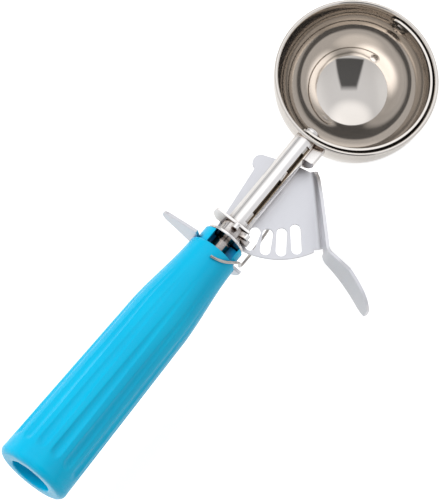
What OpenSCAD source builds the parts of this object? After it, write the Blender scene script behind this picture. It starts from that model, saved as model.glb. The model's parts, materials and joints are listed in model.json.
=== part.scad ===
// Lever disher (ice cream scoop) with a face-rack lever, sector pinion and sweeping bowl scraper.
// +X runs along the spindle towards the bowl, +Z is the way the bowl's mouth faces.
// The origin is the centre of the mouth of the round recess in the handle's butt.
// The thumb pad is on the -Y side.

/* [Handle] */
// Length of the moulded grip, butt to shoulder
grip_len = 105.3; // [100:0.1:110]
// Greatest diameter, just above the butt
grip_butt_d = 28.2; // [27:0.1:30]
// Diameter where the straight taper ends
grip_mid_d = 24.6; // [23.5:0.1:25.5]
// Diameter at the shoulder
grip_top_d = 19; // [18:0.1:20]
// Share of the length taken by the straight taper
taper_share = 0.66; // [0.6:0.01:0.7]
// Radius round the butt's edge
butt_round = 2.6; // [1.5:0.1:3]
// Diameter of the recess in the butt
recess_d = 16; // [14:0.1:18]
// Depth of the recess
recess_depth = 22; // [12:1:40]
// Number of lengthwise flutes
flute_count = 14; // [12:1:16]
// Radius of the cutter that leaves a flute
flute_r = 3.6; // [3:0.1:5]
// Depth of a flute
flute_depth = 0.75; // [0.3:0.05:0.9]
// Plain band left above the butt
flute_start = 10; // [8:0.5:14]

/* [Neck and guard] */
// Length of the neck in front of the guard plate
neck_len = 4.8; // [4:0.1:5]
// Diameter of the neck
neck_d = 16.4; // [15:0.1:17]
// Width of the channel that shows the core tube
neck_channel_w = 8.4; // [7:0.1:9]
// Thickness of the finger guard
guard_t = 1.2; // [1:0.1:1.5]
// Reach of the guard's tongue from the spindle axis
guard_reach = 23.4; // [20:0.1:26]
// Radius of the guard's short side
guard_short_r = 11.9; // [11:0.1:12.5]
// Half width of the guard plate
guard_half_w = 8; // [7.6:0.1:8.4]
// Radius of the tongue's tip
guard_tip_r = 3.4; // [2.5:0.1:4]

/* [Core and cheeks] */
// Outside diameter of the core tube
core_d = 6.4; // [6.2:0.1:6.6]
// Wall of the core tube
core_wall = 0.9; // [0.8:0.05:1]
// Depth of the core tube in the grip
core_depth = 46; // [40:1:60]
// Thickness of both cheeks
cheek_t = 1.1; // [0.9:0.1:1.2]
// Radius of the rear cheek
rear_cheek_r = 7.6; // [7:0.1:8]
// How far the rear cheek reaches below the axis
rear_cheek_drop = 10.4; // [9:0.1:11]
// Radius of the front cheek
front_cheek_r = 9.7; // [9:0.1:10]
// Height of the front cheek's flat top above the axis
front_cheek_top = 4.6; // [4.4:0.1:5.4]

/* [Shank] */
// Distance from the lever's pivot to the saddle
saddle_past_pivot = 9.65; // [8.7:0.05:12]
// Outside diameter of the shank tube
tube_d = 8.8; // [8.4:0.1:9.2]
// Wall of the shank tube
tube_wall = 0.8; // [0.6:0.05:0.9]
// Width of the tube's open seam
seam_w = 2; // [1.4:0.1:2.4]
// Turn of the seam from the top towards the lever side
seam_turn = 38; // [20:1:60]
// Radius of the saddle that carries the bowl
saddle_r = 7.9; // [7:0.1:8.2]
// Length of the saddle
saddle_len = 7.6; // [6:0.1:8]

/* [Bowl] */
// Inside diameter of the bowl
bowl_d = 57.6; // [54:0.1:61]
// Wall of the bowl
bowl_wall = 0.9; // [0.7:0.05:1.2]
// Height of the rim above the spindle axis
rim_h = 5.4; // [4:0.1:7]
// Thickness of the rolled rim
rim_bead = 1.5; // [1.3:0.1:1.8]

/* [Scraper] */
// Diameter of the spindle
spindle_d = 3.8; // [3.6:0.1:4]
// Width of the scraper blade
blade_w = 9; // [7:0.1:11]
// Thickness of the scraper blade
blade_t = 0.8; // [0.6:0.05:1]
// Gap between the blade and the bowl
blade_gap = 0.35; // [0.3:0.05:0.6]
// Angle of the blade's middle above the axis plane at rest
blade_rest = 2; // [0:0.5:4]
// Diameter of the far pivot pin
far_pin_d = 3; // [2.6:0.1:3.4]

/* [Pinion and lever] */
// Diameter of the pinion's hub
hub_d = 8.8; // [8.4:0.1:9]
// Length of the pinion's hub
hub_len = 4.5; // [4.3:0.1:4.8]
// Length of the pinion's teeth
tooth_len = 2; // [1.8:0.1:2.1]
// Thickness of a tooth
tooth_t = 2.2; // [1.8:0.1:2.3]
// Height of a tooth's tip beyond the pitch circle
addendum = 1.45; // [1.2:0.05:1.5]
// Distance from the lever's pivot to the middle of the teeth
mesh_arm = 27.65; // [27.5:0.05:27.8]
// Angle between neighbouring slots
slot_pitch = 12; // [11.9:0.1:12.1]
// Angle of the slot nearest the spindle at rest
first_slot = 4.5; // [4:0.1:5]
// Width of a slot
slot_w = 3.9; // [3.8:0.05:4]
// Rim of metal outside the slots
slot_rim = 1.1; // [1:0.05:1.3]
// Thickness of the lever plate
lever_t = 1.2; // [1:0.05:1.4]
// Height of the plate's middle below the axis
lever_drop = 6.4; // [6.3:0.05:6.6]
// Middle radius of the fold that turns the flange up
fold_r = 2.5; // [2:0.1:3.2]
// Height of the flange and thumb pad above the axis
pad_top = 10.5; // [9:0.5:12]
// Length of the thumb pad
pad_len = 24.5; // [22:0.5:27]
// Outward kink between flange and pad
pad_kink = 39; // [34:1:42]
// Radius to which the pad is curved
pad_curve_r = 62; // [50:1:80]
// Diameter of the lever's pivot rivet
rivet_d = 3.2; // [3:0.1:3.4]
// Wire of the return spring
wire_d = 1.1; // [1:0.05:1.2]

/* [Hidden] */
$fn = 64;
eps = 0.01;
// Clearances: running fit on a radius, and free air between separate moving pieces
run = 0.08;
air = 0.3;

// Stations along the spindle
guard_x = grip_len;
neck_x = guard_x + guard_t;
rear_cheek_x = neck_x + neck_len + air;
hub_x = rear_cheek_x + cheek_t + air;
front_cheek_x = hub_x + hub_len + air;
tube_x = front_cheek_x + cheek_t;
teeth_x = hub_x + hub_len - tooth_len;
pivot_x = teeth_x + tooth_len / 2 + mesh_arm;
ferrule_len = 6.5;
core_end_x = tube_x + ferrule_len;
bush_len = 4.5;
block_len = 5;
// The bowl is set so that the saddle's end meets the shell at the saddle's own radius
bowl_r = bowl_d / 2;
bowl_out_r = bowl_r + bowl_wall;
saddle_x = pivot_x + saddle_past_pivot;
bowl_x = saddle_x + saddle_len + sqrt(bowl_out_r * bowl_out_r - saddle_r * saddle_r);
bowl_near_x = bowl_x - bowl_r;
bowl_far_x = bowl_x + bowl_r;

core_r = core_d / 2;
core_bore_r = core_r - core_wall;
tube_r = tube_d / 2;
tube_bore_r = tube_r - tube_wall;
spindle_r = spindle_d / 2;
spindle_hole_r = spindle_r + run;

// Lever and pinion: a pinion of seven teeth of which four are left, and five slots
whole_teeth = 7;
sector_teeth = 4;
slot_count = 5;
slot_past_teeth = 0.65;
pitch_r = mesh_arm * slot_pitch * PI / 180 * whole_teeth / (2 * PI);
tip_r = pitch_r + addendum;
tooth_pitch = 360 / whole_teeth;
drive_ratio = tooth_pitch / slot_pitch;
swing = 40;
sweep = swing * drive_ratio;
first_tooth = mesh_arm * sin(first_slot) / pitch_r * 180 / PI;
slot_out_r = pivot_x - teeth_x + slot_past_teeth;
lever_r = slot_out_r + slot_rim;
lever_top = -lever_drop + lever_t / 2;
lever_bottom = -lever_drop - lever_t / 2;
rivet_r = rivet_d / 2;

// Fold line of the flange, from its end beside the shank to the foot of the thumb pad
fold_start = [saddle_past_pivot + 0.15, -7.8];
waist_point = [pivot_x + saddle_past_pivot - 1.45, -1];
fold_turn = -138;
fold_len = 31.5;
fold_relief = 2.2;
fold_end = fold_len - fold_relief;
fold_mid_z = -lever_drop + fold_r;
kink_r = 5;
// Hole in the lever for the spring's hook
spring_hole = [pivot_x + 6.2, -1];

// Drive pin, and the slot that it sweeps in the core tube
pin_r = 0.8;
pin_x = hub_x + hub_len / 2 + 0.6;
pin_turn = 180 - first_tooth - 1.5 * tooth_pitch;

// Cylinder whose axis runs along X
module along_x(x, len, r, fn = 64) {
    translate([x, 0, 0]) rotate([0, 90, 0]) cylinder(h = len, r = r, $fn = fn);
}

// Ring whose axis runs along X
module ring_x(x, len, r_out, r_in) {
    difference() {
        along_x(x, len, r_out);
        along_x(x - 1, len + 2, r_in);
    }
}

// Solid of revolution round X, from [x, radius] points
module turned_x(points) {
    rotate([0, 90, 0]) rotate_extrude($fn = 96) polygon([for (p = points) [p[1], p[0]]]);
}

// Plate square to X: an outline of [y, z] points, extruded from x forward
module plate_x(x, t, points) {
    translate([x, 0, 0]) rotate([90, 0, 90]) linear_extrude(height = t) polygon(points);
}

// Points of an arc
function arc(c, r, a0, a1, n) = [for (i = [0:n]) let (a = a0 + (a1 - a0) * i / n) c + r * [cos(a), sin(a)]];

// Radius of the grip along its length: a straight taper, then a smooth waist into the shoulder
taper_end = grip_len * taper_share;
function waist(s) = s * s * (3 - 2 * s);
function grip_r(x) = x < taper_end
    ? grip_butt_d / 2 + (grip_mid_d - grip_butt_d) / 2 * x / taper_end
    : grip_mid_d / 2 - (grip_mid_d - grip_top_d) / 2 * waist((x - taper_end) / (grip_len - taper_end));

module grip_body() {
    shoulder_round = 0.8;
    waist_steps = 9;
    turned_x(concat(
        [[0, 0]],
        [for (a = [0:15:90]) [butt_round * (1 - cos(a)), grip_r(0) - butt_round * (1 - sin(a))]],
        [for (i = [0:waist_steps]) let (x = taper_end + (grip_len - shoulder_round - taper_end) * i / waist_steps)
            [x, grip_r(x)]],
        [[grip_len - 0.25, grip_top_d / 2 - 0.25], [grip_len, grip_top_d / 2 - shoulder_round], [grip_len, 0]]));
}

// One flute: a round bar sunk in the taper, rising out of the surface before the shoulder
module flute() {
    plain_top = 11;
    flute_end = grip_len - plain_top;
    rise = grip_r(flute_end) + flute_r + 0.15 - (grip_r(flute_start) + flute_r - flute_depth);
    bar_len = flute_end - flute_start;
    lean = atan(rise / bar_len);
    translate([flute_start, 0, grip_r(flute_start) + flute_r - flute_depth])
        rotate([0, 90 - lean, 0]) {
            cylinder(h = bar_len / cos(lean), r = flute_r, $fn = 32);
            sphere(r = flute_r, $fn = 32);
        }
}

module handle_grip() {
    spigot_r = neck_d / 2 - 2;
    color("deepskyblue") difference() {
        union() {
            difference() {
                grip_body();
                for (i = [0:flute_count - 1]) rotate([360 / flute_count * (i + 0.5), 0, 0]) flute();
            }
            along_x(guard_x - 1, guard_t + 2, spigot_r);
            along_x(neck_x, neck_len, neck_d / 2);
        }
        translate([-eps, 0, 0]) along_x(0, recess_depth + eps, recess_d / 2);
        along_x(grip_len - core_depth, core_depth + guard_t + neck_len + 1, core_r);
        translate([neck_x + eps, -neck_channel_w / 2, 0]) cube([neck_len + 1, neck_channel_w, neck_d]);
    }
}

module guard_plate() {
    tip = guard_reach - guard_tip_r;
    root = 7;
    slope = atan((guard_half_w - guard_tip_r) / (tip - root));
    notch_w = 5;
    notch_low = 3.6;
    spigot_r = neck_d / 2 - 2;
    color("gainsboro") difference() {
        intersection() {
            union() {
                along_x(guard_x, guard_t, guard_short_r);
                plate_x(guard_x, guard_t, concat(
                    [[0, -guard_half_w], [root, -guard_half_w]],
                    arc([tip, 0], guard_tip_r, slope - 90, 90 - slope, 10),
                    [[root, guard_half_w], [0, guard_half_w]]));
            }
            translate([guard_x - 1, -guard_reach - 1, -guard_half_w])
                cube([guard_t + 2, 2 * guard_reach + 2, 2 * guard_half_w]);
        }
        along_x(guard_x - 1, guard_t + 2, spigot_r);
        translate([guard_x - 1, -neck_d / 2 - notch_w / 2 - 0.4, notch_low]) cube([guard_t + 2, notch_w, guard_half_w]);
    }
}

// Core tube: set in the grip, carries both cheeks and the pinion, and ends inside the shank
module core_tube() {
    slot_margin = 22;
    color("silver") difference() {
        ring_x(grip_len - core_depth, core_end_x - grip_len + core_depth, core_r, core_bore_r);
        translate([pin_x, 0, 0]) rotate([0, 90, 0])
            rotate([0, 0, 180 + pin_turn - slot_margin])
                rotate_extrude(angle = sweep + 2 * slot_margin)
                    translate([core_bore_r - 0.5, -pin_r - run]) square([core_wall + 1, 2 * (pin_r + run)]);
    }
}

module rear_cheek() {
    side = rear_cheek_r - 0.9;
    corner = 2;
    drop = rear_cheek_drop;
    color("gainsboro") difference() {
        union() {
            along_x(rear_cheek_x, cheek_t, rear_cheek_r);
            translate([rear_cheek_x, -side, -drop + corner]) cube([cheek_t, 2 * side, drop - corner]);
            translate([rear_cheek_x, -side + corner, -drop]) cube([cheek_t, 2 * side - 2 * corner, drop]);
            for (s = [-1, 1]) translate([0, s * (side - corner), -drop + corner]) along_x(rear_cheek_x, cheek_t, corner);
        }
        along_x(rear_cheek_x - 1, cheek_t + 2, core_r);
    }
}

module front_cheek() {
    bottom = -lever_top - 0.4;
    lever_side = 5.9;
    color("gainsboro") difference() {
        intersection() {
            along_x(front_cheek_x, cheek_t, front_cheek_r);
            translate([front_cheek_x - 1, -lever_side, -bottom])
                cube([cheek_t + 2, lever_side + front_cheek_r, bottom + front_cheek_top]);
        }
        along_x(front_cheek_x - 1, cheek_t + 2, core_r);
    }
}

module tube_ferrule() {
    color("silver") ring_x(tube_x, ferrule_len, tube_bore_r, core_r);
}

// The bowl's outside without its rim: half a sphere under a straight skirt
module bowl_outside() {
    translate([bowl_x, 0, 0]) {
        intersection() {
            sphere(r = bowl_out_r, $fn = 160);
            translate([-bowl_out_r - 1, -bowl_out_r - 1, -bowl_out_r - 1])
                cube([2 * bowl_out_r + 2, 2 * bowl_out_r + 2, bowl_out_r + 1]);
        }
        cylinder(h = rim_h, r = bowl_out_r, $fn = 160);
    }
}

module rolled_rim() {
    translate([bowl_x, 0, rim_h - rim_bead / 2]) rotate_extrude($fn = 160)
        translate([bowl_r + rim_bead / 2, 0]) circle(r = rim_bead / 2, $fn = 24);
}

module shank_tube() {
    seam_start = tube_x + 2;
    seam_len = saddle_x + 4 - seam_start;
    color("gainsboro") difference() {
        ring_x(tube_x, bowl_near_x - tube_x, tube_r, tube_bore_r);
        rotate([seam_turn, 0, 0]) translate([seam_start, -seam_w / 2, 0]) cube([seam_len, seam_w, tube_d]);
        translate([pivot_x, 0, -tube_d]) cylinder(h = tube_d, r = rivet_r);
        bowl_outside();
        rolled_rim();
    }
}

module rear_bush() {
    color("goldenrod") ring_x(grip_len - bush_len, bush_len, core_bore_r, spindle_hole_r);
}

module front_bush() {
    color("goldenrod") ring_x(core_end_x - bush_len, bush_len, core_bore_r, spindle_hole_r);
}

// Inner block that the rivet is set in, chamfered towards the bowl
module pivot_block() {
    color("silver") difference() {
        union() {
            along_x(pivot_x - block_len / 2, block_len - 1, tube_bore_r);
            turned_x([[pivot_x + block_len / 2 - 1, 0], [pivot_x + block_len / 2 - 1, tube_bore_r],
                [pivot_x + block_len / 2, tube_bore_r - 1], [pivot_x + block_len / 2, 0]]);
        }
        along_x(pivot_x - block_len, 2 * block_len, spindle_hole_r);
        translate([pivot_x, 0, -tube_d]) cylinder(h = tube_d - spindle_hole_r - 0.4, r = rivet_r);
    }
}

// Saddle washer between the shank's underside and the lever
module pivot_spacer() {
    spacer_bottom = lever_top + air;
    color("silver") difference() {
        translate([pivot_x, 0, spacer_bottom]) cylinder(h = -spacer_bottom - 1, r = 3.6);
        along_x(pivot_x - 5, 10, tube_r);
        translate([pivot_x, 0, spacer_bottom - 1]) cylinder(h = tube_d, r = rivet_r);
    }
}

// Stations down the rivet, under the lever
spring_turns = 2.5;
washer_top = lever_bottom - air;
washer_t = 0.8;
spool_len = (spring_turns + 1) * (wire_d + 0.1) + 0.3;
spool_top = washer_top - washer_t;
head_top = spool_top - spool_len;
spool_r = 3.2;
washer_r = 5.2;

module lever_rivet() {
    head_t = 1.1;
    color("silver") {
        translate([pivot_x, 0, head_top - eps]) cylinder(h = -head_top - spindle_hole_r - 0.5, r = rivet_r);
        translate([pivot_x, 0, head_top - head_t]) cylinder(h = head_t, r = washer_r - 0.4);
    }
}

module rivet_washer() {
    color("silver") difference() {
        translate([pivot_x, 0, spool_top]) cylinder(h = washer_t, r = washer_r);
        translate([pivot_x, 0, spool_top - 1]) cylinder(h = washer_t + 2, r = rivet_r);
    }
}

module spring_spool() {
    color("goldenrod") difference() {
        translate([pivot_x, 0, head_top]) cylinder(h = spool_len, r = spool_r);
        translate([pivot_x, 0, head_top - 1]) cylinder(h = spool_len + 2, r = rivet_r);
    }
}

module bowl_bush() {
    color("goldenrod") ring_x(saddle_x + 1, bush_len, tube_bore_r, spindle_hole_r);
}

// Saddle: a half sleeve brazed under the shank's end and fitted to the bowl
module bowl_saddle() {
    saddle_tilt = 14;
    saddle_end = saddle_x + saddle_len + 2;
    far_side = tube_r - 0.2;
    edge = 0.5;
    color("gainsboro") difference() {
        turned_x([[saddle_x, tube_r], [saddle_x, saddle_r - edge], [saddle_x + edge, saddle_r],
            [saddle_end, saddle_r], [saddle_end, tube_r]]);
        bowl_outside();
        rotate([-saddle_tilt, 0, 0]) translate([saddle_x - 1, -saddle_r - 1, 1])
            cube([saddle_len + 6, 2 * saddle_r + 2, saddle_r]);
        translate([saddle_x - 1, far_side, -saddle_r - 1]) cube([saddle_len + 6, saddle_r, 2 * saddle_r + 2]);
    }
}

// Bowl: a spun hemisphere with a short straight skirt and a rolled rim
module bowl() {
    color("whitesmoke") difference() {
        union() {
            bowl_outside();
            rolled_rim();
        }
        translate([bowl_x, 0, 0]) {
            sphere(r = bowl_r, $fn = 160);
            cylinder(h = rim_h + 2, r = bowl_r, $fn = 160);
        }
        along_x(bowl_near_x - 4, 6, spindle_hole_r);
        along_x(bowl_far_x - 2, 6, far_pin_d / 2);
    }
}

module far_pivot_pin() {
    head_t = 0.7;
    color("silver") {
        along_x(bowl_far_x - blade_gap - blade_t - air, blade_gap + blade_t + air + bowl_wall + eps, far_pin_d / 2);
        along_x(bowl_far_x + bowl_wall, head_t, far_pin_d / 2 + 1);
    }
}

blade_out_r = bowl_r - blade_gap;
blade_in_r = blade_out_r - blade_t;
blade_hub_r = spindle_d - 0.4;
blade_hub_t = 1.6;
// The hub's flat face touches the hollow side of the blade at the hub's own radius
blade_hub_x = bowl_x - sqrt(blade_in_r * blade_in_r - blade_hub_r * blade_hub_r);

module spindle() {
    color("silver") difference() {
        along_x(grip_len - bush_len - 2, bowl_x - blade_in_r - grip_len + bush_len + 2, spindle_r);
        rotate([pin_turn, 0, 0]) translate([pin_x, 0, -spindle_r - 1]) cylinder(h = spindle_d + 2, r = pin_r);
    }
}

// Sector pinion: a hub that turns on the core tube, with teeth round part of it
module pinion() {
    root_in = 0.5;
    tip_r0 = tip_r - tooth_t / 2;
    color("gainsboro") difference() {
        union() {
            along_x(hub_x, hub_len, hub_d / 2);
            for (i = [0:sector_teeth - 1]) rotate([-first_tooth - i * tooth_pitch, 0, 0]) {
                translate([teeth_x, -tooth_t / 2, -tip_r0]) cube([tooth_len, tooth_t, tip_r0 - hub_d / 2 + root_in]);
                translate([0, 0, -tip_r0]) along_x(teeth_x, tooth_len, tooth_t / 2);
            }
        }
        along_x(hub_x - 1, hub_len + 2, core_r + run);
        rotate([pin_turn, 0, 0]) translate([pin_x, 0, 0]) cylinder(h = tip_r, r = pin_r);
    }
}

// Pin that drives the spindle from the pinion through the core tube's slot
module drive_pin() {
    color("dimgray") rotate([pin_turn, 0, 0]) translate([pin_x, 0, -spindle_r + 0.3])
        cylinder(h = spindle_r - 0.3 + hub_d / 2 - 0.1, r = pin_r);
}

module thrust_washer() {
    color("goldenrod") ring_x(hub_x + hub_len + 0.05, air - 0.1, hub_d / 2 - 0.3, core_r + run);
}

// Scraper: a strip of a sphere that hugs the bowl, with a round lug at each pivot
module scraper_blade() {
    lug_r = blade_w / 2;
    color("gainsboro") difference() {
        intersection() {
            difference() {
                translate([bowl_x, 0, 0]) sphere(r = blade_out_r, $fn = 160);
                translate([bowl_x, 0, 0]) sphere(r = blade_in_r, $fn = 160);
            }
            rotate([-blade_rest, 0, 0]) union() {
                translate([bowl_x - bowl_r, -bowl_r, -blade_w / 2]) cube([2 * bowl_r, bowl_r, blade_w]);
                along_x(bowl_x - bowl_r, bowl_d, lug_r);
            }
        }
        along_x(bowl_near_x - 2, 6, spindle_r);
        along_x(bowl_far_x - 4, 6, far_pin_d / 2 + run);
    }
}

module blade_hub() {
    color("silver") ring_x(blade_hub_x, blade_hub_t, blade_hub_r, spindle_r);
}

module spindle_rivet_head() {
    head_t = 1.2;
    hub_end = blade_hub_x + blade_hub_t;
    color("silver") turned_x([[bowl_x - blade_in_r, 0], [bowl_x - blade_in_r, spindle_r], [hub_end, spindle_r],
        [hub_end, spindle_r + 1], [hub_end + head_t / 2, spindle_r + 1], [hub_end + head_t, spindle_r - 0.4],
        [hub_end + head_t, 0]]);
}

// Frame of the fold: X along the fold line towards the pad, Y outwards
module at_fold() {
    translate([pivot_x + fold_start[0], fold_start[1], 0]) rotate([0, 0, fold_turn]) children();
}

// Slot of the fan: round-ended, from an inner radius out to the rim; the far slots lean back
function slot_in_r(i) = 20.6 - 0.7 * i;
function slot_lean(i) = i < 3 ? 0 : (i - 2) * 6;
module fan_slot(angle, inner_r, lean) {
    turn = 180 + angle;
    w = slot_w / 2;
    cut = lever_t + 2;
    translate([pivot_x, 0, lever_bottom - 1]) rotate([0, 0, turn]) translate([mesh_arm, 0, 0]) rotate([0, 0, -lean]) {
        translate([inner_r - mesh_arm + w, 0, 0]) cylinder(h = cut, r = w);
        translate([slot_out_r - mesh_arm - w, 0, 0]) cylinder(h = cut, r = w);
        translate([inner_r - mesh_arm + w, -w, 0]) cube([slot_out_r - inner_r - slot_w, slot_w, cut]);
    }
}

// A point of the top view, in the frame of the fold
function in_fold(p) = let (d = p - [pivot_x + fold_start[0], fold_start[1]])
    [d[0] * cos(fold_turn) + d[1] * sin(fold_turn), d[1] * cos(fold_turn) - d[0] * sin(fold_turn)];

// Outline of the fan: lobe beside the pivot, fold line, relief cut, and a left side that the rim trims
module fan_plate() {
    lobe_r = 3.2;
    lobe = [pivot_x + 1.2, 8.2];
    left_x = pivot_x - lever_r;
    left_top = 5.6;
    relief_depth = 1;
    relief_out = 4;
    intersection() {
        at_fold() translate([0, 0, lever_bottom]) linear_extrude(height = lever_t) polygon(concat(
            [for (p = arc(lobe, lobe_r, 168, 10, 10)) in_fold(p)],
            [in_fold(waist_point), [0, 0], [fold_end, 0], [fold_end, -relief_depth],
                [fold_end + relief_out, -relief_depth], in_fold([left_x - 2, -lever_r]), in_fold([left_x, left_top])]));
        translate([pivot_x, 0, lever_bottom - 1]) cylinder(h = lever_t + 2, r = lever_r, $fn = 200);
    }
}

// Quarter bend that turns the plate up into the flange
module fold() {
    translate([0, 0, fold_mid_z]) intersection() {
        difference() {
            along_x(0, fold_end, fold_r + lever_t / 2);
            along_x(-1, fold_end + 2, fold_r - lever_t / 2);
        }
        translate([-1, 0, -2 * fold_r]) cube([fold_end + 2, 2 * fold_r, 2 * fold_r]);
    }
}

// Upright strip: flange, kink and thumb pad in one run, seen from above
pad_sweep = pad_len / pad_curve_r * 180 / PI;
kink_c = [fold_len, fold_r + kink_r];
pad_c = kink_c + (kink_r + pad_curve_r) * [cos(pad_kink - 90), sin(pad_kink - 90)];
function strip_side(d) = concat([[0, fold_r + d]], arc(kink_c, kink_r - d, -90, pad_kink - 90, 6),
    arc(pad_c, pad_curve_r + d, pad_kink + 90 - pad_sweep / 16, pad_kink + 90 - pad_sweep, 15));

module upright_strip() {
    near_side = strip_side(-lever_t / 2);
    far_side = strip_side(lever_t / 2);
    last = len(near_side) - 1;
    translate([0, 0, lever_bottom]) linear_extrude(height = pad_top - lever_bottom)
        polygon(concat(far_side, [for (i = [last:-1:0]) near_side[i]]));
}

// Prism through the strip, from an outline of [x, z] points in the strip's frame
strip_reach = 12;
module through_strip(points) {
    translate([0, strip_reach, 0]) rotate([90, 0, 0]) linear_extrude(height = 2 * strip_reach) polygon(points);
}

// Upright part of the lever: its top edge climbs from the nose to the pad, and the pad's end is round
module flange_and_pad() {
    above = pad_top + 1;
    below = lever_bottom - 1;
    mid_z = (pad_top + lever_bottom) / 2;
    end_r = (pad_top - lever_bottom) / 2 - 0.6;
    kink_end = fold_len + kink_r * sin(pad_kink);
    kink_top = pad_top - 4.6;
    top_edge = [[-1, lever_top + 0.2], [1.5, lever_top + 0.9], [4, lever_top + 3], [12, lever_top + 6.6],
        [22, kink_top - 3], [fold_len, kink_top - 1], [kink_end + 1, kink_top + 1.2]];
    round_end = arc([pad_len - end_r, mid_z], end_r, 84, -84, 14);
    at_fold() difference() {
        union() {
            difference() {
                upright_strip();
                through_strip([[-1, below], [fold_len, below], [fold_len, fold_mid_z], [-1, fold_mid_z]]);
            }
            fold();
        }
        through_strip(concat(top_edge, [[kink_end + 1, above], [-1, above]]));
        translate([kink_c[0], kink_c[1], 0]) rotate([0, 0, pad_kink]) translate([0, -kink_r, 0])
            through_strip(concat([[-1.8, kink_top], [4, kink_top + 2], [9, pad_top]], round_end,
                [[1.5, below], [2 * pad_len, below], [2 * pad_len, above], [-1.8, above]]));
    }
}

module lever() {
    hole_r = wire_d / 2 + 0.35;
    color("lightgray") difference() {
        union() {
            fan_plate();
            flange_and_pad();
        }
        translate([pivot_x, 0, lever_bottom - 1]) cylinder(h = lever_t + 2, r = rivet_r + run);
        translate([spring_hole[0], spring_hole[1], lever_bottom - 1]) cylinder(h = lever_t + 2, r = hole_r);
        for (i = [0:slot_count - 1])
            fan_slot(first_slot + i * slot_pitch, slot_in_r(i), slot_lean(i));
    }
}

// Return spring: a coil on the spool, a hooked tip in the lever, and a long leg round the neck
coil_r = spool_r + air + wire_d / 2;
coil_top = spool_top - air - wire_d / 2;
coil_pitch = wire_d + 0.1;
function coil_point(a) = [pivot_x + coil_r * cos(a), coil_r * sin(a), coil_top - coil_pitch * a / 360];
coil_end = 360 * spring_turns;
coil_route = [for (a = [0:15:coil_end]) coil_point(-a) + [0, 0, 2 * coil_pitch * (-a) / 360]];
hook_tip = [[spring_hole[0], spring_hole[1], lever_top - 0.1], [spring_hole[0], spring_hole[1], lever_bottom - 0.8],
    [spring_hole[0] - 0.4, -0.7, coil_top]];
// The leg runs back under the fan, rises in front of the guard and hooks over the grip's shoulder
leg_side = -neck_d / 2 - 1.5;
leg_low = coil_top - spring_turns * coil_pitch;
hook_r = grip_top_d / 2 + wire_d / 2 + 0.35;
function hook_point(x, turn) = [x, -hook_r * sin(turn), hook_r * cos(turn)];
leg_route = [[pivot_x - 7, -5.4, leg_low], [pivot_x - 14, -8.4, leg_low + 0.4], [front_cheek_x, leg_side + 0.2, -10],
    [rear_cheek_x - 0.4, leg_side, -8.6], [neck_x + 2.4, leg_side, -5], [neck_x + 1.6, leg_side, 0],
    [neck_x + 0.7, leg_side + 0.2, 3.6], hook_point(guard_x - 0.3, 50), hook_point(guard_x - 2, 38),
    hook_point(guard_x - 3.2, 27), hook_point(guard_x - 4, 16), hook_point(guard_x - 4.5, 4)];
spring_route = concat(hook_tip, coil_route, leg_route);

// Tube swept along a route, with a ring of points square to the path at each station
function unit(v) = v / norm(v);
function tangent(p, i) = unit(p[min(i + 1, len(p) - 1)] - p[max(i - 1, 0)]);
function side_of(t) = unit(cross(t, abs(t[2]) > 0.9 ? [1, 0, 0] : [0, 0, 1]));
function ring_at(p, i, r, n) = let (t = tangent(p, i), u = side_of(t), v = cross(t, u))
    [for (k = [0:n - 1]) p[i] + r * (cos(360 * k / n) * u + sin(360 * k / n) * v)];

module swept_wire(route, r, n = 8) {
    m = len(route);
    points = [for (i = [0:m - 1]) each ring_at(route, i, r, n)];
    sides = [for (i = [0:m - 2]) for (k = [0:n - 1])
        [i * n + k, i * n + (k + 1) % n, (i + 1) * n + (k + 1) % n, (i + 1) * n + k]];
    polyhedron(points, concat([[for (k = [n - 1:-1:0]) k]], sides, [[for (k = [0:n - 1]) (m - 1) * n + k]]));
}

module return_spring() {
    color("dimgray") swept_wire(spring_route, wire_d / 2);
}

handle_grip();
guard_plate();
core_tube();
rear_cheek();
front_cheek();
tube_ferrule();
shank_tube();
rear_bush();
front_bush();
pivot_block();
pivot_spacer();
lever_rivet();
rivet_washer();
spring_spool();
bowl_bush();
bowl_saddle();
bowl();
far_pivot_pin();
spindle();
pinion();
drive_pin();
thrust_washer();
scraper_blade();
blade_hub();
spindle_rivet_head();
lever();
return_spring();
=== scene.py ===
import json
import math

import bmesh
import bpy
from mathutils import Matrix, Vector

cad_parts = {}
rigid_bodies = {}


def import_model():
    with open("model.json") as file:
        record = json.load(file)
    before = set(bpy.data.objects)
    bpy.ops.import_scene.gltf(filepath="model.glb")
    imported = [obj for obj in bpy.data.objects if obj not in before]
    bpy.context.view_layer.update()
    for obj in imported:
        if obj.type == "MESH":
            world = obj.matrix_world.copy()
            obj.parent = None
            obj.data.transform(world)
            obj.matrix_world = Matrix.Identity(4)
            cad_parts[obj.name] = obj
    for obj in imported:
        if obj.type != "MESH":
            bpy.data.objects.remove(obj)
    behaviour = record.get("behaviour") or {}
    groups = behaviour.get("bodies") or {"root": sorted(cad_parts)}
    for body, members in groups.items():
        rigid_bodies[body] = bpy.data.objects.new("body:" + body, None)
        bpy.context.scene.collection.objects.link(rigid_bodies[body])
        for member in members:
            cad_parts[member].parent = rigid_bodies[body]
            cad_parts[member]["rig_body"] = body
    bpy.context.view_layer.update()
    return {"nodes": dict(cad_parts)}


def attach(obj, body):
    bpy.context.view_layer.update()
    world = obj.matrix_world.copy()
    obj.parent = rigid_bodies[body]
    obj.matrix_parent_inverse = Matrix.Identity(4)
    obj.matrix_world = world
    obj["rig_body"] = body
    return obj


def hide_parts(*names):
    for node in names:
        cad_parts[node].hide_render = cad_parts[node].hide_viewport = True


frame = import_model()
scene = bpy.context.scene

# ---------------------------------------------------------------------------
# Grip: one injection moulding in bright cyan polypropylene, moulded over the core tube and the guard.
# Its butt is cored out by a round recess, and lengthwise flutes let a wet hand hold it.
# The neck, in front of the guard, is part of the same shot and has a channel that shows the core tube.

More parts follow.
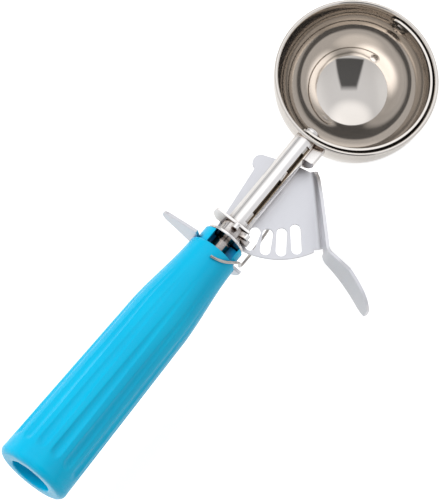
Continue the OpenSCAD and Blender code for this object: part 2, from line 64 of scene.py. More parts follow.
MM = 0.001
GRIP_LENGTH = 105.3
BUTT_RADIUS, BUTT_ROUND = 14.1, 2.6
TAPER_END, TAPER_END_RADIUS = 0.66 * GRIP_LENGTH, 12.3
SHOULDER_RADIUS, SHOULDER_ROUND = 9.5, 0.8
RECESS_RADIUS, RECESS_DEPTH, LIP_ROUND = 8.0, 22.0, 0.5
CORE_HOLE_RADIUS, CORE_HOLE_START = 3.2, 59.3
NECK_START, NECK_END, NECK_RADIUS, NECK_ROOT = 106.5, 111.3, 8.2, 1.1
FLUTES, FLUTE_START, FLUTE_END, FLUTE_DEPTH, FLUTE_CUTTER = 14, 10.0, 94.3, 0.8, 2.8
STEPS_PER_FLUTE = 24
RECESS_WALL = 1.2


def linear(code):
    """A #rrggbb colour as linear RGBA."""
    parts = [int(code[i : i + 2], 16) / 255 for i in (1, 3, 5)]
    return [c / 12.92 if c <= 0.04045 else ((c + 0.055) / 1.055) ** 2.4 for c in parts] + [1]


def put(tree, kind, sockets=(), **settings):
    """Adds a node with its settings, and fills or links its sockets, given by name or in order."""
    node = tree.nodes.new(kind)
    for name, value in settings.items():
        setattr(node, name, value)
    for key, value in sockets.items() if isinstance(sockets, dict) else enumerate(sockets):
        if isinstance(value, bpy.types.NodeSocket):
            tree.links.new(value, node.inputs[key])
        else:
            node.inputs[key].default_value = value
    return node


def surface(name, **shader):
    """A new material with one Principled shader, and its tree, shader and object coordinates."""
    material = bpy.data.materials.new(name)
    material.use_nodes = True
    tree = material.node_tree
    bsdf = tree.nodes["Principled BSDF"]
    for key, value in shader.items():
        bsdf.inputs[key.replace("_", " ")].default_value = value
    place = put(tree, "ShaderNodeTexCoord").outputs["Object"]
    return material, tree, bsdf, place


def lathe(name, profile, around, to_axis):
    """Mesh turned from (along, radius) points in millimetres; to_axis puts +X on the real axis."""
    bm = bmesh.new()
    turns = [2 * math.pi * k / around for k in range(around)]
    rings = []
    for along, radius in profile:
        circle = [(radius * MM * math.cos(t), radius * MM * math.sin(t)) for t in turns]
        if radius < 1e-6:
            circle = [(0, 0)]
        rings.append([bm.verts.new((along * MM, y, z)) for y, z in circle])
    for one, two in zip(rings, rings[1:]):
        for k in range(around):
            corners = [one[k % len(one)], one[(k + 1) % len(one)], two[(k + 1) % len(two)], two[k % len(two)]]
            bm.faces.new(list(dict.fromkeys(corners)))
    bmesh.ops.recalc_face_normals(bm, faces=bm.faces)
    mesh = bpy.data.meshes.new(name)
    bm.to_mesh(mesh)
    bm.free()
    mesh.transform(to_axis)
    return mesh


def smooth(mesh, angle):
    """Smooth shading, with edges sharper than the angle left crisp."""
    mesh.polygons.foreach_set("use_smooth", [True] * len(mesh.polygons))
    mesh.set_sharp_from_angle(angle=math.radians(angle))


def piece(name, mesh, material):
    """Object at the origin with one material."""
    obj = bpy.data.objects.new(name, mesh)
    scene.collection.objects.link(obj)
    mesh.materials.clear()
    mesh.materials.append(material)
    return obj


def settle(obj):
    """Turns the evaluated object into a plain mesh and drops its modifiers."""
    bpy.context.view_layer.update()
    evaluated = obj.evaluated_get(bpy.context.evaluated_depsgraph_get())
    mesh = bpy.data.meshes.new_from_object(evaluated)
    obj.modifiers.clear()
    obj.data = mesh
    return obj


def dress(obj, body, slot, *nodes):
    """The piece rides on its body and stands for its CAD nodes; its slot is not used."""
    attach(obj, body)
    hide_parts(*nodes)


def arc(centre, radius, start, end, steps):
    """Points of an arc in degrees."""
    turns = [math.radians(start + (end - start) * k / steps) for k in range(steps + 1)]
    return [(centre[0] + radius * math.cos(t), centre[1] + radius * math.sin(t)) for t in turns]


def grip_radius(x):
    """A straight taper, then a smooth waist up to the shoulder."""
    if x < TAPER_END:
        return BUTT_RADIUS + (TAPER_END_RADIUS - BUTT_RADIUS) * x / TAPER_END
    s = (x - TAPER_END) / (GRIP_LENGTH - TAPER_END)
    return TAPER_END_RADIUS - (TAPER_END_RADIUS - SHOULDER_RADIUS) * s * s * (3 - 2 * s)


# moulded plastic: one clear cyan with hardly any flow mottle, and a gloss that draws a line on each edge.
# Its hollows get a painted shade of deeper blue, standing in for shade and for light that has already come
# off another blue wall.
grip_plastic, tree, bsdf, place = surface(
    "moulded cyan polypropylene", Roughness=0.16, Specular_IOR_Level=0.2)
flow = put(tree, "ShaderNodeMapping", {"Vector": place, "Scale": (25, 160, 160)})
mottle = put(tree, "ShaderNodeTexNoise", {"Vector": flow.outputs[0], "Scale": 1.0, "Detail": 2.0})
ramp = put(tree, "ShaderNodeValToRGB", {"Fac": mottle.outputs["Fac"]})
ramp.color_ramp.elements[0].position, ramp.color_ramp.elements[0].color = 0.3, linear("#00B8E4")
ramp.color_ramp.elements[1].position, ramp.color_ramp.elements[1].color = 0.7, linear("#00C2EC")
openness = put(tree, "ShaderNodeAmbientOcclusion", {"Distance": 7 * MM}, samples=8).outputs["AO"]
open_face = put(tree, "ShaderNodeMapRange", {"Value": openness, "From Min": 0.15, "From Max": 0.75})
# painted shade: where the AO finds a hollow, the cyan is mixed towards deep blue
blue = put(tree, "ShaderNodeMix",
           {"Factor": open_face.outputs[0], "A": linear("#0076B0"), "B": ramp.outputs[0]},
           data_type="RGBA")
tree.links.new(blue.outputs["Result"], bsdf.inputs["Base Color"])

butt_edge = [(BUTT_ROUND * (1 - math.cos(a)), grip_radius(0) - BUTT_ROUND * (1 - math.sin(a)))
             for a in [math.radians(d) for d in range(0, 91, 9)]]
along = [BUTT_ROUND + 1 + k for k in range(int(GRIP_LENGTH - BUTT_ROUND - 2))]
grip_profile = (
    [(RECESS_DEPTH, 0), (RECESS_DEPTH, RECESS_RADIUS)]
    + arc((LIP_ROUND, RECESS_RADIUS + LIP_ROUND), LIP_ROUND, -90, -180, 4)
    + butt_edge
    + [(x, grip_radius(x)) for x in along]
    + arc((GRIP_LENGTH - SHOULDER_ROUND, SHOULDER_RADIUS - SHOULDER_ROUND), SHOULDER_ROUND, 90, 0, 5)
    + [(GRIP_LENGTH, CORE_HOLE_RADIUS), (CORE_HOLE_START, CORE_HOLE_RADIUS), (CORE_HOLE_START, 0)]
)
grip = piece("moulded_grip", lathe("grip", grip_profile, FLUTES * STEPS_PER_FLUTE, Matrix()), grip_plastic)

# flutes: each vertex of the outside sinks by the depth of a round cutter that rises out of the grip
flutes = bpy.data.node_groups.new("Grip flutes", "GeometryNodeTree")
flutes.interface.new_socket("Geometry", in_out="INPUT", socket_type="NodeSocketGeometry")
flutes.interface.new_socket("Geometry", in_out="OUTPUT", socket_type="NodeSocketGeometry")
sizes = {"Count": FLUTES, "Start": FLUTE_START * MM, "End": FLUTE_END * MM, "Depth": FLUTE_DEPTH * MM,
         "Cutter width": 2 * FLUTE_CUTTER * MM, "Least radius": (RECESS_RADIUS + RECESS_WALL) * MM}
keys = {}
for size_name in sizes:
    socket = flutes.interface.new_socket(size_name, in_out="INPUT", socket_type="NodeSocketFloat")
    keys[size_name] = socket.identifier
given = put(flutes, "NodeGroupInput").outputs
xyz = put(flutes, "ShaderNodeSeparateXYZ", [put(flutes, "GeometryNodeInputPosition").outputs[0]]).outputs
outward = put(flutes, "ShaderNodeCombineXYZ", {1: xyz[1], 2: xyz[2]}).outputs[0]
radius = put(flutes, "ShaderNodeVectorMath", [outward], operation="LENGTH").outputs["Value"]
sector = put(flutes, "ShaderNodeMath", [2 * math.pi, given["Count"]], operation="DIVIDE").outputs[0]
angle = put(flutes, "ShaderNodeMath", [xyz[1], xyz[2]], operation="ARCTAN2").outputs[0]
off_middle = put(flutes, "ShaderNodeMath", [angle, sector], operation="FLOORED_MODULO").outputs[0]
off_middle = put(flutes, "ShaderNodeMath", [sector, -0.5, off_middle], operation="MULTIPLY_ADD").outputs[0]
across = put(flutes, "ShaderNodeMath", [off_middle, radius], operation="MULTIPLY").outputs[0]
before = put(flutes, "ShaderNodeMath", [given["Start"], xyz[0]], operation="SUBTRACT").outputs[0]
before = put(flutes, "ShaderNodeMath", [before, 0.0], operation="MAXIMUM").outputs[0]
reach = put(flutes, "ShaderNodeMath", [across, across], operation="MULTIPLY").outputs[0]
reach = put(flutes, "ShaderNodeMath", [before, before, reach], operation="MULTIPLY_ADD").outputs[0]
bow = put(flutes, "ShaderNodeMath", [reach, given["Cutter width"]], operation="DIVIDE").outputs[0]
depth = put(flutes, "ShaderNodeMapRange",
            {"Value": xyz[0], "From Min": given["Start"], "From Max": given["End"],
             "To Min": given["Depth"], "To Max": 0.0}).outputs[0]
sunk = put(flutes, "ShaderNodeMath", [depth, bow], operation="SUBTRACT").outputs[0]
sunk = put(flutes, "ShaderNodeMath", [sunk, 0.0], operation="MAXIMUM").outputs[0]
outside = put(flutes, "ShaderNodeMath", [radius, given["Least radius"]], operation="GREATER_THAN").outputs[0]
sunk = put(flutes, "ShaderNodeMath", [sunk, outside], operation="MULTIPLY").outputs[0]
inward = put(flutes, "ShaderNodeMath", [sunk, -1.0], operation="MULTIPLY").outputs[0]
outward = put(flutes, "ShaderNodeVectorMath", [outward], operation="NORMALIZE").outputs[0]
offset = put(flutes, "ShaderNodeVectorMath", {0: outward, "Scale": inward}, operation="SCALE").outputs[0]
moved = put(flutes, "GeometryNodeSetPosition", {"Geometry": given["Geometry"], "Offset": offset}).outputs[0]
real = put(flutes, "GeometryNodeRealizeInstances", {0: moved}).outputs[0]
painted = put(flutes, "GeometryNodeSetMaterial", {"Geometry": real, "Material": grip_plastic}).outputs[0]
put(flutes, "NodeGroupOutput", {0: painted})
modifier = grip.modifiers.new("Flutes", "NODES")
modifier.node_group = flutes
for size_name, value in sizes.items():
    modifier[keys[size_name]] = float(value)
settle(grip)

# neck: a C-shaped collar whose channel leaves the core tube in view, wider on the lever's side
CHANNEL_LEFT, CHANNEL_RIGHT = 4.2, -6.6
left_rise = math.degrees(math.acos(CHANNEL_LEFT / NECK_RADIUS))
right_rise = math.degrees(math.acos(CHANNEL_RIGHT / NECK_RADIUS))
neck_outline = (arc((0, 0), NECK_RADIUS, left_rise, right_rise - 360, 60)
                + [(CHANNEL_RIGHT, 0), (-CORE_HOLE_RADIUS, 0)]
                + arc((0, 0), CORE_HOLE_RADIUS, 180, 360, 24)[1:] + [(CHANNEL_LEFT, 0)])


def prism(outline, start, end):
    """Closed mesh from a (y, z) outline, run along X, in millimetres."""
    bm = bmesh.new()
    near = bm.faces.new([bm.verts.new((start * MM, y * MM, z * MM)) for y, z in outline])
    far = bmesh.ops.extrude_face_region(bm, geom=[near])["geom"]
    far_verts = [v for v in far if isinstance(v, bmesh.types.BMVert)]
    bmesh.ops.translate(bm, verts=far_verts, vec=((end - start) * MM, 0, 0))
    bmesh.ops.recalc_face_normals(bm, faces=bm.faces)
    mesh = bpy.data.meshes.new("prism")
    bm.to_mesh(mesh)
    bm.free()
    return mesh


def round_edges(obj, width, angle=35, segments=3):
    """Small round on every edge sharper than the angle, in millimetres; flat faces keep flat shading."""
    bevel = obj.modifiers.new("Edge round", "BEVEL")
    bevel.width = width * MM
    bevel.segments = segments
    bevel.limit_method = "ANGLE"
    bevel.angle_limit = math.radians(angle)
    even = obj.modifiers.new("Even shading", "WEIGHTED_NORMAL")
    even.keep_sharp = True
    return obj


neck_mesh = prism(neck_outline, NECK_START - NECK_ROOT, NECK_END)
neck = settle(round_edges(piece("neck", neck_mesh, grip_plastic), width=0.35))
joined = bmesh.new()
joined.from_mesh(grip.data)
joined.from_mesh(neck.data)
joined.to_mesh(grip.data)
joined.free()
bpy.data.objects.remove(neck)
smooth(grip.data, 40)
dress(grip, "handle", "grip", "handle_grip")

# ---------------------------------------------------------------------------
# Finger guard: stamped from 1.2 mm stainless sheet, tumbled, and held between the grip and its neck.
# Its long tongue stops the forefinger, and its low edge on the lever's side lets the spring's leg past.

# satin stainless: pale grey with broad highlights. Its grain runs along the sheet and is drawn 0.4 mm wide,
# coarser than it is, so that it shows.
satin_sheet, tree, bsdf, place = surface("satin stainless sheet", Metallic=1.0)
grain = put(tree, "ShaderNodeMapping", {"Vector": place, "Scale": (250, 2600, 2600)})
lines = put(tree, "ShaderNodeTexNoise", {"Vector": grain.outputs[0], "Scale": 1.0, "Detail": 3.0})
rough = put(tree, "ShaderNodeMapRange", {"Value": lines.outputs["Fac"], "To Min": 0.36, "To Max": 0.48})
tree.links.new(rough.outputs[0], bsdf.inputs["Roughness"])
bsdf.inputs["Base Color"].default_value = linear("#D5D4D6")

# outline: the tongue, a step down to a top that lies behind the neck, and a short round side below
TONGUE_TIP, TIP_RADIUS, TONGUE_SLOPE = 20.0, 3.4, 19.5
PLATE_HALF, PLATE_RADIUS, TOP_RADIUS = 8.0, 11.9, 3.8
low_corner = math.degrees(math.asin(PLATE_HALF / PLATE_RADIUS))
tongue = arc((TONGUE_TIP, 0), TIP_RADIUS, TONGUE_SLOPE - 90, 90 - TONGUE_SLOPE, 24)
step_down = [(9.0, 7.3), (7.4, 3.0)]
top = arc((0, 0), TOP_RADIUS, 22, 180, 40)
low_side = arc((0, 0), PLATE_RADIUS, 182, 180 + low_corner, 16) + [(7.0, -PLATE_HALF)]
guard_mesh = prism(tongue + step_down + top + low_side, GRIP_LENGTH, NECK_START)
guard = piece("finger_guard", guard_mesh, satin_sheet)
settle(round_edges(guard, width=0.18, angle=25, segments=2))
dress(guard, "handle", "bright_metal", "guard_plate")

# ---------------------------------------------------------------------------
# Tubes, cheeks, saddle and pivot: drawn tube with turned and stamped parts, bright nickel plated. The bushes,
# washers and spool are plain steel. The cheeks are pressed on the core tube and hold the pinion endways.


def from_cad(name, node, material, edge, angle=35):
    """A merged copy of a CAD node with its flat faces rejoined and, given an edge, its edges rounded."""
    mesh = frame["nodes"][node].data.copy()
    bm = bmesh.new()
    bm.from_mesh(mesh)
    bmesh.ops.remove_doubles(bm, verts=bm.verts, dist=2e-6)
    bmesh.ops.dissolve_limit(bm, angle_limit=math.radians(0.6), verts=bm.verts, edges=bm.edges)
    bm.to_mesh(mesh)
    bm.free()
    if not edge:
        smooth(mesh, 32)
        return piece(name, mesh, material)
    mesh.polygons.foreach_set("use_smooth", [True] * len(mesh.polygons))
    return settle(round_edges(piece(name, mesh, material), edge, angle, segments=2))


# bright nickel: a clear warm mirror, with a painted dark brown shade in its corners
nickel, tree, bsdf, place = surface("bright nickel plate", Metallic=1.0)
openness = put(tree, "ShaderNodeAmbientOcclusion", {"Distance": 6 * MM}, samples=8).outputs["AO"]
haze = put(tree, "ShaderNodeTexNoise", {"Vector": place, "Scale": 350.0, "Detail": 2.0}).outputs["Fac"]
open_face = put(tree, "ShaderNodeMapRange", {"Value": openness, "From Min": 0.35, "From Max": 0.92})
# painted shade: where the AO finds a corner, the colour is mixed towards dark brown
corner_shade = put(tree, "ShaderNodeMix",
             {"Factor": open_face.outputs[0], "A": linear("#5E4A3C"), "B": linear("#E2DEDA")},
             data_type="RGBA")
rough = put(tree, "ShaderNodeMapRange", {"Value": haze, "To Min": 0.07, "To Max": 0.14}).outputs[0]
tree.links.new(corner_shade.outputs["Result"], bsdf.inputs["Base Color"])
tree.links.new(rough, bsdf.inputs["Roughness"])

# stained steel: dull, with the brown film that forms on bare steel inside a tube, where no polish reaches
stained_steel, tree, bsdf, place = surface("brown-stained bare steel", Roughness=0.5)
stain = put(tree, "ShaderNodeTexNoise", {"Vector": place, "Scale": 600.0, "Detail": 3.0}).outputs["Fac"]
tint = put(tree, "ShaderNodeMix", {"Factor": stain, "A": linear("#BFAC94"), "B": linear("#DFD0BA")},
           data_type="RGBA")
tree.links.new(tint.outputs["Result"], bsdf.inputs["Base Color"])

# plain steel: greyer and duller than nickel, with the soft shine of drawn wire and turned bushes
plain_steel, tree, bsdf, place = surface("plain bright-drawn steel", Metallic=1.0)
scale = put(tree, "ShaderNodeTexNoise", {"Vector": place, "Scale": 500.0, "Detail": 2.0})
rough = put(tree, "ShaderNodeMapRange", {"Value": scale.outputs["Fac"], "To Min": 0.1, "To Max": 0.18})
tree.links.new(rough.outputs[0], bsdf.inputs["Roughness"])
bsdf.inputs["Base Color"].default_value = linear("#B9B4AE")

for node, edge in (("rear_cheek", 0.15), ("front_cheek", 0.15), ("tube_ferrule", 0), ("bowl_saddle", 0.12),
                   ("pivot_spacer", 0), ("far_pivot_pin", 0.15)):
    dress(from_cad(node + "_piece", node, nickel, edge), "handle", "bright_metal", node)

# the shank's tube is plated outside and at its ends; its inner faces and the sides of its seam are stained
shank = from_cad("shank_tube_piece", "shank_tube", nickel, 0.12)
shank.data.materials.append(stained_steel)
for face in shank.data.polygons:
    outwards = Vector((0, face.center.y, face.center.z)).normalized()
    face.material_index = int(face.normal.dot(outwards) < 0.3 and abs(face.normal.x) < 0.5)
dress(shank, "handle", "bright_metal", "shank_tube")

for node, metal in (
        ("core_tube", nickel), ("rear_bush", plain_steel), ("front_bush", plain_steel),
        ("pivot_block", nickel), ("lever_rivet", nickel), ("rivet_washer", plain_steel),
        ("spring_spool", plain_steel), ("bowl_bush", plain_steel), ("thrust_washer", plain_steel)):
    body = frame["nodes"][node]["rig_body"]
    dress(from_cad(node + "_piece", node, metal, 0), body, "plain_steel", node)

# ---------------------------------------------------------------------------
# Bowl: spun from stainless sheet over a round chuck, its rim rolled outwards, then polished on a soft wheel.
# It sits on the saddle under the shank's end, and its far wall carries the scraper's far pivot.

BOWL_X, BOWL_RADIUS, BOWL_WALL, RIM_HEIGHT, RIM_BEAD = 190.03, 28.8, 0.9, 5.4, 1.5
bowl_turn = Matrix.Translation((BOWL_X * MM, 0, 0)) @ Matrix.Rotation(-math.pi / 2, 4, "Y")
bead = RIM_BEAD / 2
inner_wall = [(z, r) for r, z in arc((0, 0), BOWL_RADIUS, -90, 0, 90)]
outer_wall = [(z, r) for r, z in arc((0, 0), BOWL_RADIUS + BOWL_WALL, 0, -90, 60)]
rim_roll = [(z, r) for r, z in arc((BOWL_RADIUS + bead, RIM_HEIGHT - bead), bead, 180, -78, 18)]
bowl_profile = inner_wall + rim_roll + outer_wall

# mirror-polished stainless: a clear, slightly warm mirror, with faint clouds 8 mm across left by the wheel
polished, tree, bsdf, place = surface("mirror-polished spun stainless", Metallic=0.97)
centred = put(tree, "ShaderNodeMapping", {"Vector": place, "Location": (-BOWL_X * MM, 0, 0)})
cloud = put(tree, "ShaderNodeTexNoise", {"Vector": centred.outputs[0], "Scale": 120.0, "Detail": 2.0})
rough = put(tree, "ShaderNodeMapRange", {"Value": cloud.outputs["Fac"], "To Min": 0.03, "To Max": 0.07})
tree.links.new(rough.outputs[0], bsdf.inputs["Roughness"])
bsdf.inputs["Base Color"].default_value = linear("#D1CAC2")

bowl = piece("spun_bowl", lathe("bowl", bowl_profile, 240, bowl_turn), polished)
smooth(bowl.data, 45)
dress(bowl, "handle", "bowl_metal", "bowl")

# ---------------------------------------------------------------------------
# Scraper: a strip of spring steel bent to the bowl, polished, riveted to the spindle's end.
# Spindle, hub, pinion and drive pin turn with it.

for name, node, metal, edge, slot in (
        ("scraper_blade_piece", "scraper_blade", polished, 0.1, "blade_metal"),
        ("blade_hub_piece", "blade_hub", nickel, 0.1, "blade_metal"),
        ("spindle_rivet_head_piece", "spindle_rivet_head", nickel, 0.2, "blade_metal"),
        ("spindle_piece", "spindle", stained_steel, 0, "plain_steel"),
        ("drive_pin_piece", "drive_pin", plain_steel, 0, "plain_steel"),
        ("sector_pinion_piece", "pinion", nickel, 0.12, "bright_metal")):
    dress(from_cad(name, node, metal, edge), "scraper", slot, node)

# ---------------------------------------------------------------------------
# Lever: one stamping of stainless sheet, its slots pierced and its flange and thumb pad folded up.
# It is tumbled to a satin finish with softened edges.

lever = from_cad("thumb_lever", "lever", satin_sheet, 0.18, angle=25)
dress(lever, "lever", "lever_metal", "lever")

# ---------------------------------------------------------------------------
# Return spring: music wire wound on the spool under the pivot. A short hook stands in the lever's hole,
# and a long leg runs back under the fan, rises beside the neck and hooks over the grip's shoulder.

PIVOT_X, LEVER_UNDERSIDE, WASHER, SPOOL_RADIUS = 144.15, -7.0, 0.8, 3.2
WIRE, AIR, COIL_TURNS = 1.1, 0.3, 2.5
NECK_AIR, SHOULDER_AIR = 1.5, 0.35
COIL_PITCH = WIRE + 0.1
COIL_TOP = LEVER_UNDERSIDE - AIR - WASHER - AIR - WIRE / 2
COIL_RADIUS = SPOOL_RADIUS + AIR + WIRE / 2
LOW = COIL_TOP - COIL_TURNS * COIL_PITCH
SIDE = -NECK_RADIUS - NECK_AIR
HOOK = SHOULDER_RADIUS + WIRE / 2 + SHOULDER_AIR
HOLE = (PIVOT_X + 6.2, -1.0)

coil = []
for degrees in range(0, int(360 * COIL_TURNS) + 1, 10):
    turn = math.radians(degrees)
    coil.append((PIVOT_X + COIL_RADIUS * math.cos(-turn), COIL_RADIUS * math.sin(-turn),
                 COIL_TOP - COIL_PITCH * turn / (2 * math.pi)))


def over_shoulder(x, degrees):
    """A point of the leg's hooked end, round the grip's shoulder."""
    return (x, -HOOK * math.sin(math.radians(degrees)), HOOK * math.cos(math.radians(degrees)))


leg = [(PIVOT_X - 7, -5.4, LOW), (PIVOT_X - 14, -8.4, LOW + 0.4), (117.8, SIDE + 0.2, -10),
       (111.2, SIDE, -8.6), (108.9, SIDE, -5), (108.1, SIDE, 0), (107.2, SIDE + 0.2, 3.6),
       over_shoulder(105, 50), over_shoulder(103.3, 38), over_shoulder(102.1, 27),
       over_shoulder(101.3, 16), over_shoulder(100.8, 4)]
hook = [(HOLE[0], HOLE[1], -5.9), (HOLE[0], HOLE[1], -7.8), (HOLE[0] - 0.4, -0.7, COIL_TOP), coil[0]]

# wire: the path's edges become a curve, are smoothed, and carry a round section with filled ends
wire_tree = bpy.data.node_groups.new("Wire", "GeometryNodeTree")
wire_tree.interface.new_socket("Geometry", in_out="INPUT", socket_type="NodeSocketGeometry")
wire_tree.interface.new_socket("Geometry", in_out="OUTPUT", socket_type="NodeSocketGeometry")
wire_key = wire_tree.interface.new_socket(
    "Wire radius", in_out="INPUT", socket_type="NodeSocketFloat").identifier
given = put(wire_tree, "NodeGroupInput").outputs
path = put(wire_tree, "GeometryNodeMeshToCurve", {"Mesh": given["Geometry"]}).outputs[0]
spline = put(wire_tree, "GeometryNodeCurveSplineType", {"Curve": path}, spline_type="CATMULL_ROM").outputs[0]
even = put(wire_tree, "GeometryNodeResampleCurve", {"Curve": spline, "Length": 0.35 * MM},
           mode="LENGTH").outputs[0]
section = put(wire_tree, "GeometryNodeCurvePrimitiveCircle",
              {"Resolution": 16, "Radius": given["Wire radius"]}).outputs[0]
tube = put(wire_tree, "GeometryNodeCurveToMesh",
           {"Curve": even, "Profile Curve": section, "Fill Caps": True}).outputs[0]
real = put(wire_tree, "GeometryNodeRealizeInstances", {0: tube}).outputs[0]
painted = put(wire_tree, "GeometryNodeSetMaterial", {"Geometry": real, "Material": plain_steel}).outputs[0]
put(wire_tree, "NodeGroupOutput", {0: painted})


def wire(name, points):
    """A piece of spring wire through the points, in millimetres."""
    mesh = bpy.data.meshes.new(name)
    mesh.from_pydata([Vector(p) * MM for p in points], [(k, k + 1) for k in range(len(points) - 1)], [])
    obj = piece(name, mesh, plain_steel)
    shape = obj.modifiers.new("Wire", "NODES")
    shape.node_group = wire_tree
    shape[wire_key] = WIRE / 2 * MM
    settle(obj)
    smooth(obj.data, 50)
    return obj


spring = wire("return_wire", coil + leg)
dress(spring, "handle", "plain_steel", "return_spring")
spring_hook = wire("spring_hook", hook)
dress(spring_hook, "lever", "plain_steel", "return_spring")

# ---------------------------------------------------------------------------
# Studio: a white table under a white tent. Polished metal also sees the tent's grey seam, its two bright
# side panels, a softbox beyond the bowl, and the dark hole in its roof that the object is looked at through.

world = bpy.data.worlds.new("Studio")
scene.world = world
world.use_nodes = True
tree = world.node_tree
tree.nodes.clear()
rays = put(tree, "ShaderNodeLightPath").outputs
toward = put(tree, "ShaderNodeTexCoord").outputs["Generated"]
ALONG, ACROSS = (0.77, 0.64, 0.0), (0.64, -0.77, 0.0)
SOFTBOX, RIGHT_WAY = (0.44, 0.37, 0.82), (0.94, -0.35, 0.0)
height = put(tree, "ShaderNodeSeparateXYZ", [toward]).outputs[2]
along, across, softbox, right_way = (
    put(tree, "ShaderNodeVectorMath", [toward, way], operation="DOT_PRODUCT").outputs["Value"]
    for way in (ALONG, ACROSS, SOFTBOX, RIGHT_WAY))

# side panels: bright below the roof, and much brighter in a second reflection, which draws the bowl's rings
right_panel = put(tree, "ShaderNodeMapRange", {"Value": right_way, "From Min": 0.25, "From Max": 0.75},
                  interpolation_type="SMOOTHSTEP").outputs[0]
left_panel = put(tree, "ShaderNodeMapRange",
                 {"Value": across, "From Min": -0.5, "From Max": -0.85, "To Max": 0.8},
                 interpolation_type="SMOOTHSTEP").outputs[0]
panels = put(tree, "ShaderNodeMath", [right_panel, left_panel], operation="MAXIMUM").outputs[0]
low_down = put(tree, "ShaderNodeMapRange",
               {"Value": height, "From Min": 0.7, "From Max": 0.92, "To Min": 1.0, "To Max": 0.0}).outputs[0]
second = put(tree, "ShaderNodeMapRange",
             {"Value": rays["Glossy Depth"], "From Min": 1.0, "From Max": 2.0}).outputs[0]
spread = put(tree, "ShaderNodeMath", [second, 2.2, 0.3], operation="MULTIPLY_ADD").outputs[0]
low_down = put(tree, "ShaderNodeMath", [low_down, spread], operation="MULTIPLY").outputs[0]
panels = put(tree, "ShaderNodeMath", [panels, low_down, 1.0], operation="MULTIPLY_ADD").outputs[0]
glow = put(tree, "ShaderNodeMapRange", {"Value": softbox, "From Min": 0.84, "From Max": 0.97, "To Max": 0.5},
           interpolation_type="SMOOTHSTEP").outputs[0]

# tent: white cloth that billows, with a grey seam part of the way up and a grey foot
billow = put(tree, "ShaderNodeTexNoise", {"Vector": toward, "Scale": 2.2, "Detail": 1.0}).outputs["Fac"]
sway = put(tree, "ShaderNodeMath", [billow, 0.12, height], operation="MULTIPLY_ADD").outputs[0]
tent = put(tree, "ShaderNodeValToRGB", {"Fac": sway})
stops = tent.color_ramp.elements
stops[0].position, stops[0].color = 0.0, linear("#8F8880")
stops[1].position, stops[1].color = 1.0, linear("#F6F9FF")
for position, code in ((0.14, "#E8EBEF"), (0.31, "#ECEFF3"), (0.39, "#8C8B8B"), (0.47, "#E4E6EA")):
    stop = stops.new(position)
    stop.color = linear(code)

# hole in the roof: a long dark slot, wider towards the butt. Later reflections see it paler, and second ones
# don't see its half on the lever's side.
sides = put(tree, "ShaderNodeMath", [across], operation="ABSOLUTE").outputs[0]
wide = put(tree, "ShaderNodeMath", [sides, height], operation="DIVIDE").outputs[0]
tall = put(tree, "ShaderNodeMath", [along, height], operation="DIVIDE").outputs[0]
splay = put(tree, "ShaderNodeMath", [tall, 0.35, wide], operation="MULTIPLY_ADD").outputs[0]
beside = put(tree, "ShaderNodeMapRange", {"Value": splay, "From Min": 0.1, "From Max": 0.18}).outputs[0]
past = put(tree, "ShaderNodeMapRange", {"Value": tall, "From Min": -0.26, "From Max": -0.1}).outputs[0]
short = put(tree, "ShaderNodeMapRange",
            {"Value": tall, "From Min": -1.5, "From Max": -1.38, "To Min": 1.0, "To Max": 0.0}).outputs[0]
clear = put(tree, "ShaderNodeMath", [past, short], operation="MAXIMUM").outputs[0]
clear = put(tree, "ShaderNodeMath", [clear, beside], operation="MAXIMUM").outputs[0]
roof = put(tree, "ShaderNodeMapRange", {"Value": clear, "To Min": 0.13}).outputs[0]
later = put(tree, "ShaderNodeMapRange",
            {"Value": rays["Glossy Depth"], "From Min": 1.5, "From Max": 3.5, "To Max": 0.6}).outputs[0]
roof = put(tree, "ShaderNodeMath", [roof, later], operation="MAXIMUM").outputs[0]
flare = put(tree, "ShaderNodeMapRange", {"Value": across, "From Min": -0.1, "From Max": 0.16, "To Max": 0.9},
            interpolation_type="SMOOTHSTEP").outputs[0]
flare = put(tree, "ShaderNodeMath", [flare, second], operation="MULTIPLY").outputs[0]
roof = put(tree, "ShaderNodeMath", [roof, flare], operation="MAXIMUM").outputs[0]

# what each kind of ray sees: mirrors the whole tent, dull surfaces an even soft light, the eye plain white
lit = put(tree, "ShaderNodeVectorMath", {0: tent.outputs[0], "Scale": panels}, operation="SCALE").outputs[0]
lit = put(tree, "ShaderNodeVectorMath", [lit, glow], operation="ADD").outputs[0]
lit = put(tree, "ShaderNodeVectorMath", {0: lit, "Scale": roof}, operation="SCALE").outputs[0]
seen = put(tree, "ShaderNodeBackground", {"Color": lit}).outputs[0]
soft = put(tree, "ShaderNodeBackground", {"Color": (1, 1, 1, 1), "Strength": 0.48}).outputs[0]
white = put(tree, "ShaderNodeBackground", {"Color": (1, 1, 1, 1)}).outputs[0]
mixed = put(tree, "ShaderNodeMixShader", [rays["Is Diffuse Ray"], seen, soft]).outputs[0]
mixed = put(tree, "ShaderNodeMixShader", [rays["Is Camera Ray"], mixed, white]).outputs[0]
put(tree, "ShaderNodeOutputWorld", [mixed])

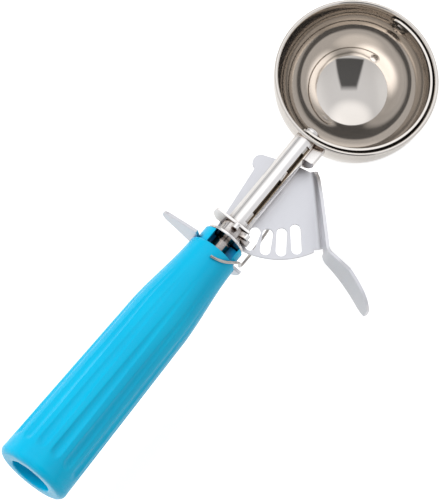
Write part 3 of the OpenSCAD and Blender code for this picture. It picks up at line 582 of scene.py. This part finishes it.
# white table: a dull sheet, lifted until the eye sees it as pure white, and lifted less in reflections
TABLE_DEPTH, LIFT, REFLECTED_SHARE = -31.0, 0.62, 0.55
table_white = bpy.data.materials.new("white table")
table_white.use_nodes = True
tree = table_white.node_tree
tree.nodes.clear()
rays = put(tree, "ShaderNodeLightPath").outputs
sheet = put(tree, "ShaderNodeBsdfDiffuse", {"Color": (0.8, 0.8, 0.8, 1)}).outputs[0]
shown = put(tree, "ShaderNodeMath", [rays["Is Glossy Ray"], rays["Is Transmission Ray"]],
            operation="MAXIMUM").outputs[0]
shown = put(tree, "ShaderNodeMath", [shown, REFLECTED_SHARE, rays["Is Camera Ray"]],
            operation="MULTIPLY_ADD").outputs[0]
strength = put(tree, "ShaderNodeMath", [shown, LIFT], operation="MULTIPLY").outputs[0]
lift = put(tree, "ShaderNodeEmission", {"Color": (1, 1, 1, 1), "Strength": strength}).outputs[0]
mixed = put(tree, "ShaderNodeAddShader", [sheet, lift]).outputs[0]
put(tree, "ShaderNodeOutputMaterial", [mixed])

bpy.ops.mesh.primitive_plane_add(size=12, location=(0.11, 0, TABLE_DEPTH * MM))
table = bpy.context.object
table.name = "White table"
table.data.materials.append(table_white)


def lamp(name, place, aim, size, power):
    """Square area lamp aimed at a point."""
    data = bpy.data.lights.new(name, "AREA")
    data.shape, data.size, data.energy = "SQUARE", size, power
    obj = bpy.data.objects.new(name, data)
    scene.collection.objects.link(obj)
    obj.location = place
    obj.rotation_euler = (Vector(aim) - Vector(place)).to_track_quat("-Z", "Y").to_euler()
    return obj


key = lamp("Key light", (-0.1, 0.9, 0.8), (0.12, 0, 0), 0.4, 8.5)
fill = lamp("Fill light", (0.5, -0.7, 0.8), (0.12, 0, 0), 0.6, 1.2)
key.visible_glossy = fill.visible_glossy = False

# camera: a long lens above the butt, its small offset from the middle given as shift
camera = bpy.data.objects.new("Camera", bpy.data.cameras.new("Camera"))
scene.collection.objects.link(camera)
right, upward, back = (0.6093, -0.7861, 0.1041), (0.7395, 0.6107, 0.2833), (-0.2863, -0.0956, 0.9534)
camera.matrix_world = (Matrix.Translation((-0.2336, -0.1148, 1.144))
                       @ Matrix((right, upward, back)).transposed().to_4x4())
camera.data.sensor_width = 36
camera.data.lens = 240.5
camera.data.shift_x = -0.0031
camera.data.shift_y = -0.0117
camera.data.clip_start, camera.data.clip_end = 0.05, 50
scene.camera = camera
scene.view_settings.view_transform = "Standard"
